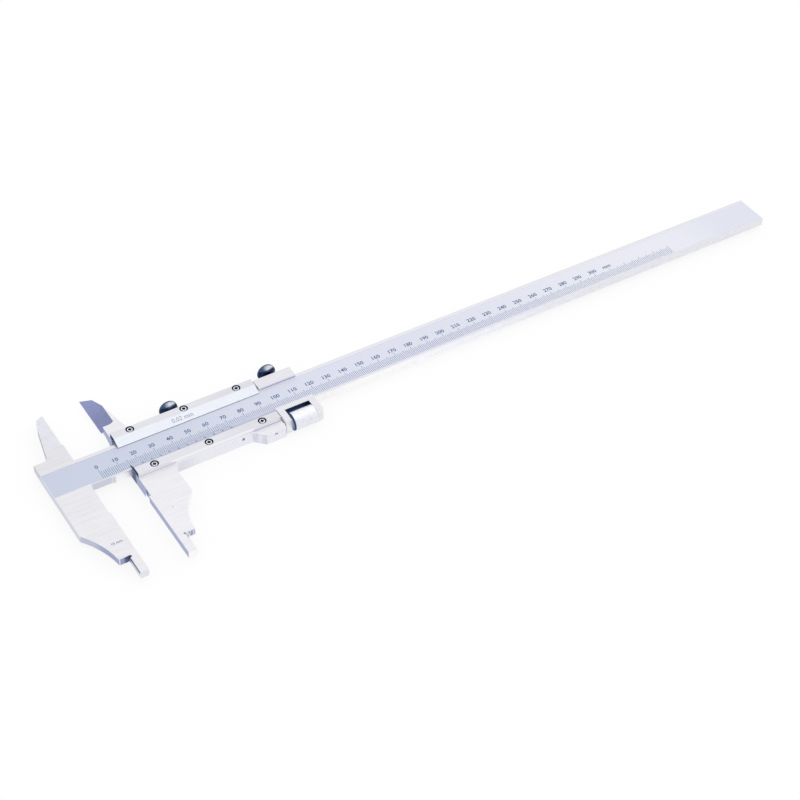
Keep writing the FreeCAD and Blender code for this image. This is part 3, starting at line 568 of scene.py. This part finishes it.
class CALIPER_OT_vernier(bpy.types.Operator):
    """Fill the vernier's marks and numbers, and etch the reading on the upper plate"""

    bl_idname = "caliper.vernier"
    bl_label = "Vernier"

    def execute(self, context):
        scale = context.scene.caliper_scale
        paint = painted(colours())
        foot_z = LOWER_LOW.z + scale.plate_edge
        rise = LOWER_HIGH.z - foot_z
        slope = math.atan2(rise, scale.plate_bevel)
        zero = SLIDER_LOW.x + scale.zero
        down = Matrix.Translation((zero, LOWER_HIGH.y, foot_z)) @ Matrix.Rotation(-slope, 4, "X")
        half = scale.vernier_stroke / 2
        thick, middle = scale.proud + scale.sunk, (scale.proud - scale.sunk) / 2
        figure_foot = -scale.vernier_long - scale.vernier_figure * 1.15
        bm = bmesh.new()
        for i in range(scale.vernier_count + 1):
            x = i * scale.vernier_pitch
            reach = scale.vernier_long if i % 5 == 0 else scale.vernier_short
            block(bm, (x - half, -reach, -scale.sunk), (x + half, -scale.plate_gap, scale.proud), down)
        for i in range(scale.vernier_count // 5 + 1):
            place = down @ Matrix.Translation((i * 5 * scale.vernier_pitch, figure_foot, middle))
            figures(bm, str(i % 10), scale.vernier_figure, thick, place)
        shown(bm, "vernier_marks", "slider", paint)
        edge = Matrix.Translation((zero + scale.reading_x, UPPER_LOW.y, foot_z))
        up = edge @ Matrix.Rotation(slope, 4, "X")
        bm = bmesh.new()
        place = up @ Matrix.Translation((0, scale.reading_y, middle))
        figures(bm, "0.02 mm", scale.reading_height, thick, place)
        shown(bm, "reading_figures", "slider", engraved("etched_figures", colours().etching))
        return {"FINISHED"}


class CALIPER_OT_slider(bpy.types.Operator):
    """Finish the slider: brushed blade, knife facet painted with shade and reflection, shaded end, painted
    highlights on edges
    """

    bl_idname = "caliper.slider"
    bl_label = "Slider and moving jaws"

    def execute(self, context):
        tints = colours()
        steel = Finish("ground_slider", tints.ground)
        nx, ny, nz = steel.facing()
        grain = steel.brushed()
        cloud = steel.noise((9.0, 9.0, 9.0), 2.0)
        base = steel.tone(tints.front[:], 0.79 + grain * 0.44 + cloud * 0.10)
        side = 1 - (nz > SLOPING)
        # The sides are painted lighter towards the jaws, with painted shade in the corner at the shoulder
        corner = steel.ramp(steel.x, *SHOULDER) * steel.ramp(steel.x, 58.0, SHOULDER[1])
        lit = 0.87 + steel.ramp(steel.x, 43.0, 41.0) * 0.13 - corner * 0.12
        dull = steel.tone(tints.ground[:], lit + steel.noise((0.8, 0.8, 0.8), 4.0) * 0.44)
        base = steel.mix(side, base, dull)
        # The lug's slanted face gets streaks of painted shade
        slant = side * (nx < -0.3) * (ny < -0.3) * (steel.x > SLIDER_HIGH.x / MM - LUG_REACH)
        shade_streaks = steel.ramp(steel.noise((1.4, 9.0, 9.0)), 0.35, 0.65)
        base = steel.mix(slant * (0.12 + shade_streaks * 0.3), base, tints.shade[:])
        # The knife facet is painted with shade and reflection, lighter towards its tip
        facet = (nx < -SLOPING) * (nz > SLOPING)
        facet_reflection = steel.noise((2.2, 2.2, 2.2)) * 0.35 + steel.ramp(steel.y, 26.0, 50.0) * 0.24
        base = steel.mix(facet, base, steel.tone(tints.facet[:], 0.66 + facet_reflection))
        # Left-facing ends are painted with shade
        left = nx < -SQUARE
        blade = steel.tone(tints.shade[:], 0.85 + steel.noise((2.0, 5.0, 2.0)) * 0.5)
        base = steel.mix(left, base, blade)
        deep = steel.between(steel.y, *BEAM_SHADOW) + steel.between(steel.y, *GROOVE_SHADOW)
        gloom = steel.tone(tints.navy[:], 0.6 + steel.noise((1.0, 2.0, 1.0)) * 1.6)
        base = steel.mix(left * deep, base, gloom)
        # The nib's root face is painted with stripes of shade and reflection
        root = side * (ny < -SQUARE) * steel.between(steel.y, *NIB_ROOT)
        stripes = steel.ramp(steel.noise((0.7, 9.0, 4.0)), 0.42, 0.58)
        base = steel.mix(root, base, steel.mix(stripes, tints.shade[:], tints.ground[:]))
        # A painted highlight along the top of the sides
        edge = side * (1 - left) * (steel.z > SLIDER_HIGH.z / MM - 0.7)
        base = steel.mix(edge, base, tints.rail[:])
        dent = steel.spot(DENT_PLACE, DENT_RADIUS) * (nz > FLAT)
        base = steel.mix(dent, base, tints.shade[:])
        sunk = side * steel.within(["side_set_screw"], SIDE_SCREW_REACH, "xz")
        steel.paint(base, 0.26 + side * 0.12 + grain * 0.1 + sunk * 0.3, 1 - sunk)
        steel.bump(grain, 0.02)
        steel.wear("slider_body", "rod_pin")
        return {"FINISHED"}


class CALIPER_OT_plates(bpy.types.Operator):
    """Finish the front plates: brushed top, dull bevels with painted shade on the vernier's, painted shade in
    the counterbores and on the ends, painted light on the lower sides
    """

    bl_idname = "caliper.plates"
    bl_label = "Front plates"

    def execute(self, context):
        tints = colours()
        steel = Finish("satin_plates", tints.ground)
        steel.shader.inputs["Specular IOR Level"].default_value = 0.02
        nx, ny, nz = steel.facing()
        grain = steel.brushed()
        base = steel.tone(tints.ground[:], 0.76 + grain * 0.38 - steel.ramp(steel.x, 65.0, 90.0) * 0.05)
        # The vernier's bevels are painted with cool shade, deepest on the lower ones and lighter towards the
        # right, over an uneven tone; the upper bevel keeps its own colour
        slant = steel.between(nz, 0.5, 0.97)
        lower = steel.ramp(steel.y, -9.3, -10.3)
        low = steel.ramp(steel.x, 75.0, 95.0) * 0.3 + 0.45 - lower * 0.35
        tint = steel.mix(steel.y > 0.0, steel.mix(low, tints.satin_end[:], tints.satin[:]), tints.bevel[:])
        wear_and_shade = 0.93 - lower * 0.07 + steel.noise((8.0, 1.2, 1.2)) * 0.14
        base = steel.mix(slant, base, steel.tone(tint, wear_and_shade))
        # The lower sides are painted light, with a painted shadow line at the vernier plate's foot, faint at
        # the left and strong past the lug
        foot = (steel.z < LOWER_LOW.z / MM + 0.3) * (steel.y < -10.0)
        side = steel.mix(0.25 + steel.ramp(steel.x, 76.0, 84.0) * 0.6, tints.ground[:], tints.shade[:])
        side = steel.mix(foot, tints.rail[:], side)
        base = steel.mix(ny < -SQUARE, base, side)
        # The left ends are painted with dark shade
        end = nx < -SQUARE
        base = steel.mix(end, base, tints.navy[:])
        # The counterbores are painted with dark shade, lighter on the side facing the beam's lower edge as
        # painted light
        screws = [name for name in NODES if "plate_screw" in name]
        wells = steel.within(screws, WELL_RADIUS)
        wells = wells * (steel.z < (UPPER_HIGH.z - 0.06 * MM) / MM)
        wells = wells * steel.between(steel.y, LOWER_LOW.y / MM + 0.1, UPPER_HIGH.y / MM - 0.1)
        near = steel.ramp(steel.off(screws, WELL_RADIUS, "y"), -0.8, -1.6)
        base = steel.mix(wells, base, steel.mix(near * 0.7, tints.recess[:], tints.satin_end[:]))
        dark = steel.math("MAXIMUM", wells, end)
        steel.paint(base, 0.28 + slant * 0.18 + grain * 0.08 + dark * 0.5, 1 - dark)
        steel.bump(grain, 0.02)
        steel.wear("upper_plate", "vernier_plate")
        return {"FINISHED"}


class CALIPER_OT_screws(bpy.types.Operator):
    """Finish the plate screws, set screws and end stop"""

    bl_idname = "caliper.screws"
    bl_label = "Small screws"

    def execute(self, context):
        tints = colours()
        names = [name for name in NODES if "plate_screw" in name]
        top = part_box(names[0])[1].z / MM
        steel = Finish("screw_steel", tints.rail, roughness=0.25)
        steel.shader.inputs["Specular IOR Level"].default_value = 0.02
        rings = steel.noise((0.25, 0.25, 0.25), 2.0)
        # Outside the head's face, in the socket and below the top the screws are painted with dark shade,
        # lighter on the side facing the beam's lower edge as painted light
        dark = steel.math("MAXIMUM", 1 - steel.within(names, HEAD_FACE), steel.within(names, SOCKET_RADIUS))
        dark = steel.math("MAXIMUM", dark, steel.z < top - 0.12)
        near = steel.ramp(steel.off(names, WELL_RADIUS, "y"), -0.8, -1.4)
        shadow = steel.mix(near * 0.7, tints.recess[:], tints.satin_end[:])
        base = steel.mix(dark, steel.tone(tints.rail[:], 0.85 + rings * 0.3), shadow)
        steel.paint(base, 0.22 + rings * 0.12 + dark * 0.4, 1 - dark)
        steel.wear(*names)
        plain = Finish("set_screw_steel", tints.shade, roughness=0.3)
        wear = plain.noise((0.4, 0.4, 0.4))
        base = plain.tone(tints.ground[:], 0.8 + wear * 0.4)
        pale = plain.tone(tints.rail[:], 0.9 + wear * 0.2)
        base = plain.mix(plain.within(["side_set_screw"], SIDE_SCREW_REACH, "xz"), base, pale)
        plain.paint(base, 0.25 + wear * 0.4, 0.3 + wear * 0.4)
        plain.wear("gib_set_screw_1", "gib_set_screw_2", "side_set_screw", "end_stop_screw")
        return {"FINISHED"}


class CALIPER_OT_carriage(bpy.types.Operator):
    """Finish the fine-adjustment carriage, with painted shade inside its window and painted light and shadow
    on its lip
    """

    bl_idname = "caliper.carriage"
    bl_label = "Carriage"

    def execute(self, context):
        tints = colours()
        steel = Finish("ground_carriage", tints.ground)
        nx, ny, nz = steel.facing()
        grain = steel.brushed()
        base = steel.tone(tints.ground[:], 0.78 + grain * 0.40)
        side = 1 - (nz > SLOPING)
        base = steel.mix(side, base, steel.tone(tints.rail[:], 0.86 + steel.noise((3.0, 3.0, 3.0)) * 0.24))
        # The lip's side is painted light, with a painted shadow line at its foot
        lip = side * (ny < -SQUARE) * (steel.y > 0.0)
        foot = steel.z < BEAM_HIGH.z / MM + 0.32
        base = steel.mix(lip, base, steel.mix(foot, tints.rail[:], tints.shade[:]))
        # The walls of the window round the nut are painted with dark shade
        low, high = NUT_LOW / MM, NUT_HIGH / MM
        before, behind, below, above = 0.3, 0.45, 0.3, 1.75
        window = side * steel.between(steel.x, low.x - before, high.x + behind)
        window = window * steel.between(steel.y, CARRIAGE_LOW.y / MM + below, high.y + above)
        base = steel.mix(window, base, steel.tone(tints.navy[:], 0.2 + steel.noise((9.0, 1.2, 0.5)) * 2.2))
        blind = (nx < -SQUARE) * (1 - window)
        steel.paint(base, 0.26 + side * 0.1 + grain * 0.1 + blind * 0.3, 1 - blind * 0.8)
        steel.bump(grain, 0.02)
        steel.wear("carriage_body")
        return {"FINISHED"}


class CALIPER_OT_nut(bpy.types.Operator):
    """Build the diamond-knurled adjusting nut"""

    bl_idname = "caliper.nut"
    bl_label = "Adjusting nut"

    def execute(self, context):
        tints = colours()
        knurls = context.scene.caliper_knurls
        low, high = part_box("adjusting_nut")
        centre = (low + high) / 2
        long, radius = high.x - low.x, (high.z - low.z) / 2
        bore, waist = knurls.nut_bore, radius - knurls.nut_chamfer
        half = [(bore, 0), (waist, 0), (radius, knurls.nut_chamfer), (radius, knurls.nut_plain)]
        profile = half + [(r, long - z) for r, z in half[::-1]]
        teeth, steps, rows = knurls.nut_teeth, 8, 71
        bm = spun(profile, teeth * steps, {len(half) - 1: rows}, closed=True)
        lean = teeth * 0.7 / (2 * math.pi * radius)
        land = 0.45
        for v in bm.verts:
            away = math.hypot(v.co.x, v.co.y)
            if away > radius - TOUCH and knurls.nut_plain < v.co.z < long - knurls.nut_plain:
                turn = math.atan2(v.co.y, v.co.x) / (2 * math.pi) * teeth
                groove = max(1 - tooth(turn + v.co.z * lean), 1 - tooth(turn - v.co.z * lean))
                cut = max(0.0, groove - land) / (1 - land)
                v.co.xy *= 1 - knurls.nut_depth * cut / radius
        bm.transform(Matrix.Translation((low.x, centre.y, centre.z)) @ Matrix.Rotation(math.pi / 2, 4, "Y"))
        smooth(bm, 50)
        steel = Finish("knurled_steel", tints.rail, roughness=0.3)
        nx, _, nz = steel.facing()
        grain = steel.noise((6.0, 0.4, 0.4))
        up, over = steel.y - centre.y / MM, steel.z - centre.z / MM
        reach = steel.math("SQRT", up * up + over * over)
        crest = steel.ramp(reach, (radius - knurls.nut_depth * 0.9) / MM, radius / MM)
        # The knurl's grooves are painted with shade, less on faces turned up
        groove_shade = (1 - crest) * (0.34 - steel.ramp(nz, 0.35, 0.8) * 0.2)
        # A mottled painted reflection on faces turned partly up
        mottled_reflection = steel.ramp(steel.noise((2.0, 1.5, 1.5)), 0.4, 0.65) * steel.between(nz, 0.55, 0.9) * 0.35
        bright = steel.mix(mottled_reflection, steel.tone(tints.rail[:], 0.98 + grain * 0.2), tints.shade[:])
        base = steel.mix(groove_shade, bright, tints.shade[:])
        # The nut's left plain band is painted with shade
        rim = steel.x < (low.x + knurls.nut_plain * 0.8) / MM
        base = steel.mix(rim, base, steel.tone(tints.shade[:], 0.7 + grain * 0.8))
        # Its left end is painted with shade, dark towards the rim
        disc = steel.mix(steel.ramp(reach, 3.3, 4.0), tints.shade[:], tints.navy[:])
        base = steel.mix(nx < -0.6, base, steel.tone(disc, 0.6 + grain * 0.8))
        steel.paint(base, 0.24 + grain * 0.14)
        shown(bm, "knurled_nut", "adjusting_nut", steel, ("adjusting_nut",))
        return {"FINISHED"}


class CALIPER_OT_rod(bpy.types.Operator):
    """Build the threaded adjusting rod"""

    bl_idname = "caliper.rod"
    bl_label = "Adjusting rod"

    def execute(self, context):
        tints = colours()
        knurls = context.scene.caliper_knurls
        low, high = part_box("adjusting_rod")
        centre = (low + high) / 2
        long, radius = high.x - low.x, (high.z - low.z) / 2
        shank, tip = long - knurls.rod_chamfer, radius - knurls.rod_chamfer
        steps, rows = 24, 4
        bm = spun([(0, 0), (radius, 0), (radius, shank), (tip, long), (0, long)], steps,
                  {1: int(long / knurls.thread_pitch * rows)})
        for v in bm.verts:
            away = math.hypot(v.co.x, v.co.y)
            if away > radius - TOUCH and 0 < v.co.z < shank:
                turn = math.atan2(v.co.y, v.co.x) / (2 * math.pi)
                v.co.xy *= 1 - knurls.thread_depth * (1 - tooth(v.co.z / knurls.thread_pitch - turn)) / radius
        bm.transform(Matrix.Translation((low.x, centre.y, centre.z)) @ Matrix.Rotation(math.pi / 2, 4, "Y"))
        smooth(bm)
        steel = Finish("rod_steel", tints.rail, roughness=0.28)
        grain = steel.noise((0.6, 0.6, 0.6))
        steel.paint(steel.tone(tints.rail[:], 0.75 + grain * 0.3), 0.22 + grain * 0.15)
        shown(bm, "threaded_rod", "slider", steel, ("adjusting_rod",))
        return {"FINISHED"}


class CALIPER_OT_lock_screws(bpy.types.Operator):
    """Build both lock screws with their knurled rims"""

    bl_idname = "caliper.lock_screws"
    bl_label = "Lock screws"

    def execute(self, context):
        tints = colours()
        knurls = context.scene.caliper_knurls
        for group in ("slider", "carriage"):
            node = group + "_lock_screw"
            low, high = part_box(node)
            steel = Finish("dark_" + node, tints.head, roughness=0.18)
            grain = steel.noise((1.2, 3.0, 0.7))
            below = steel.y < (high.y - 1.6 * MM) / MM
            middle = (low + high) / 2 / MM
            aside, above = steel.x - middle.x, steel.z - middle.z
            reach = steel.math("SQRT", aside * aside + above * above)
            # A faint painted reflection, lighter to one side
            plain = steel.mix(steel.ramp(aside, -3.0, 7.0) * 0.14, tints.head[:], tints.satin_end[:])
            plain = steel.tone(plain, 0.5 + grain * 1.2)
            # A painted highlight crescent on the underside, towards the front
            crescent_highlight = steel.ramp(above, 2.9, 3.8) * (1 - steel.ramp(reach, 4.6, 5.6))
            crescent_highlight = crescent_highlight * steel.ramp(aside, -2.8, 0.6) * (0.3 + grain * 0.9)
            # Most of the underside is painted with dark shade
            deep = (1 - steel.ramp(above, 2.4, 3.3)) * (1 - steel.ramp(reach, 6.0, 6.6))
            face = steel.mix(deep, plain, steel.tone(tints.navy[:], 0.15 + grain * 0.6))
            base = steel.mix(below, plain, steel.mix(crescent_highlight, face, tints.rail[:]))
            steel.paint(base, 0.14 + grain * 0.12)
            bm = lock_screw(knurls, high.y - low.y, (high.z - low.z) / 2)
            place = Matrix.Translation(((low.x + high.x) / 2, low.y, (low.z + high.z) / 2))
            bm.transform(place @ Matrix.Rotation(-math.pi / 2, 4, "X"))
            shown(bm, group + "_lock_head", node, steel, (node,))
        return {"FINISHED"}


def lock_screw(knurls, high, radius):
    """A lock screw standing on its foot: thread, hub, cone, knurled rim and dome."""
    top = high - knurls.head_dome
    foot = top - knurls.head_rim
    hub_top = foot - knurls.head_cone
    under = hub_top - knurls.hub_height
    stem, hub, edge = knurls.stem_radius, knurls.hub_radius, knurls.head_edge
    inner = radius - edge
    dome = [(inner * math.cos(a), top + knurls.head_dome * math.sin(a))
            for a in (math.radians(t) for t in range(15, 90, 15))]
    shaft = [(0, 0), (stem, 0), (stem, under), (hub, under), (hub, hub_top), (inner, foot)]
    rim = [(radius, foot + edge), (radius, top - edge), (inner, top)]
    steps, rows = 4, 3
    bm = spun(shaft + rim + dome + [(0, high)], knurls.head_teeth * steps, {len(shaft): rows})
    for v in bm.verts:
        away = math.hypot(v.co.x, v.co.y)
        if away > radius - TOUCH:
            turn = math.atan2(v.co.y, v.co.x) / (2 * math.pi) * knurls.head_teeth
            v.co.xy *= 1 - knurls.head_depth * (1 - tooth(turn)) / radius
    smooth(bm, 40)
    return bm


class CALIPER_OT_gibs(bpy.types.Operator):
    """Finish the brass gib strips and lock plugs inside"""

    bl_idname = "caliper.gibs"
    bl_label = "Gibs and plugs"

    def execute(self, context):
        tints = colours()
        brass = Finish("gib_brass", tints.brass, roughness=0.35)
        grain = brass.brushed((12.0, 0.3, 0.3))
        brass.paint(brass.tone(tints.brass[:], 0.75 + grain * 0.5), 0.25 + grain * 0.2)
        brass.wear("slider_gib", "carriage_gib", "slider_lock_pad", "carriage_lock_pad")
        return {"FINISHED"}


class CALIPER_OT_stage(bpy.types.Operator):
    """Set the light table, the lamps, the world and the camera"""

    bl_idname = "caliper.stage"
    bl_label = "Light table and camera"

    def execute(self, context):
        tints = colours()
        centre_x, reach, gap = 0.15, 4.0, 0.02 * MM
        bm = bmesh.new()
        bmesh.ops.create_grid(bm, x_segments=1, y_segments=1, size=reach,
                              matrix=Matrix.Translation((centre_x, 0, CAD_BOX[0].z - gap)))
        mesh = bpy.data.meshes.new("light_table")
        bm.to_mesh(mesh)
        bm.free()
        table = bpy.data.objects.new("light_table", mesh)
        context.scene.collection.objects.link(table)
        table.data.materials.append(table_finish(tints))
        lamp("overhead_panel", place=(0.5, 0.1, 1.6), aim=(centre_x, 0, 0), size=1.6, power=2.0)
        lamp("front_panel", place=(-0.9, -1.1, 0.9), aim=(0.1, 0, 0), size=1.0, power=0.7)
        world_light()
        camera()
        context.scene.view_settings.view_transform = "Standard"
        return {"FINISHED"}


def table_finish(tints):
    """White to the camera and in reflections, with the object's shadow kept, pale to everything else."""
    finish = Finish("light_table", tints.table, 0.0, 0.9)
    finish.shader.inputs["Specular IOR Level"].default_value = 0.0
    path = finish.node("ShaderNodeLightPath", {}, {})
    camera, glossy, through = (Number(finish, path.socket.node.outputs["Is %s Ray" % kind])
                               for kind in ("Camera", "Glossy", "Transmission"))
    white = finish.node("ShaderNodeEmission", {}, {"Color": (1, 1, 1, 1), "Strength": 1.0})
    lit = Number(finish, finish.shader.outputs[0])
    mixed = finish.node("ShaderNodeMixShader", {}, {0: (camera + glossy + through) * 0.8, 1: lit, 2: white})
    end = finish.tree.nodes["Material Output"]
    finish.tree.links.new(mixed.socket, end.inputs["Surface"])
    return finish.material


def lamp(name, place, aim, size, power):
    """A square soft lamp turned to its aim."""
    light = bpy.data.lights.new(name, "AREA")
    light.energy = power
    light.size = size
    holder = bpy.data.objects.new(name, light)
    holder.location = place
    holder.rotation_euler = (Vector(aim) - Vector(place)).to_track_quat("-Z", "Y").to_euler()
    bpy.context.scene.collection.objects.link(holder)


def world_light():
    """A white surround that darkens towards the horizon and stays dark below it."""
    world = bpy.data.worlds.new("surround")
    bpy.context.scene.world = world
    world.use_nodes = True
    nodes, links = world.node_tree.nodes, world.node_tree.links
    place = nodes.new("ShaderNodeTexCoord")
    split = nodes.new("ShaderNodeSeparateXYZ")
    ramp = nodes.new("ShaderNodeValToRGB")
    ramp.color_ramp.elements[0].position = 0.0
    ramp.color_ramp.elements[0].color = (0.42, 0.47, 0.60, 1)
    ramp.color_ramp.elements[1].position = 0.16
    ramp.color_ramp.elements[1].color = (1, 1, 1, 1)
    links.new(place.outputs["Generated"], split.inputs[0])
    links.new(split.outputs[2], ramp.inputs[0])
    links.new(ramp.outputs[0], nodes["Background"].inputs["Color"])
    nodes["Background"].inputs["Strength"].default_value = 1.0


def camera():
    """The camera, at the photograph's viewing angle."""
    lens = bpy.data.cameras.new("camera")
    lens.lens = 84.07
    lens.sensor_width = 36
    lens.clip_start = 0.05
    lens.clip_end = 20
    holder = bpy.data.objects.new("camera", lens)
    place = Vector((-212.9, -625.13, 658.87)) * MM
    aim = Vector((160.95, -34.37, 4.5)) * MM
    roll = math.radians(1.2608)
    turn = (aim - place).to_track_quat("-Z", "Y").to_matrix().to_4x4() @ Matrix.Rotation(roll, 4, "Z")
    holder.matrix_world = Matrix.Translation(place) @ turn
    bpy.context.scene.collection.objects.link(holder)
    bpy.context.scene.camera = holder


STEPS = (CALIPER_OT_beam, CALIPER_OT_graduations, CALIPER_OT_slider, CALIPER_OT_plates, CALIPER_OT_vernier,
         CALIPER_OT_screws, CALIPER_OT_carriage, CALIPER_OT_nut, CALIPER_OT_rod, CALIPER_OT_lock_screws,
         CALIPER_OT_gibs, CALIPER_OT_stage)
GROUPS = {"caliper_scale": CaliperScaleSizes, "caliper_knurls": CaliperKnurlSizes,
          "caliper_colours": CaliperColours}


class CALIPER_PT_panel(bpy.types.Panel):
    """Lists the caliper's steps, sizes and colours"""

    bl_idname = "CALIPER_PT_panel"
    bl_label = "Caliper"
    bl_space_type = "VIEW_3D"
    bl_region_type = "UI"
    bl_category = "Caliper"

    def draw(self, context):
        for step in STEPS:
            self.layout.operator(step.bl_idname)
        for name, group in GROUPS.items():
            box = self.layout.box()
            for key in group.__annotations__:
                box.prop(getattr(context.scene, name), key)


def register():
    """Registers the sizes, the steps and the panel."""
    for cls in (*GROUPS.values(), *STEPS, CALIPER_PT_panel):
        bpy.utils.register_class(cls)
    for name, group in GROUPS.items():
        setattr(bpy.types.Scene, name, PointerProperty(type=group))


def unregister():
    """Takes them away again."""
    for name in GROUPS:
        delattr(bpy.types.Scene, name)
    for cls in (CALIPER_PT_panel, *STEPS[::-1], *GROUPS.values()):
        bpy.utils.unregister_class(cls)


def main():
    """Builds the scene step by step."""
    register()
    for step in STEPS:
        group, call = step.bl_idname.split(".")
        getattr(getattr(bpy.ops, group), call)()


if __name__ == "__main__":
    main()
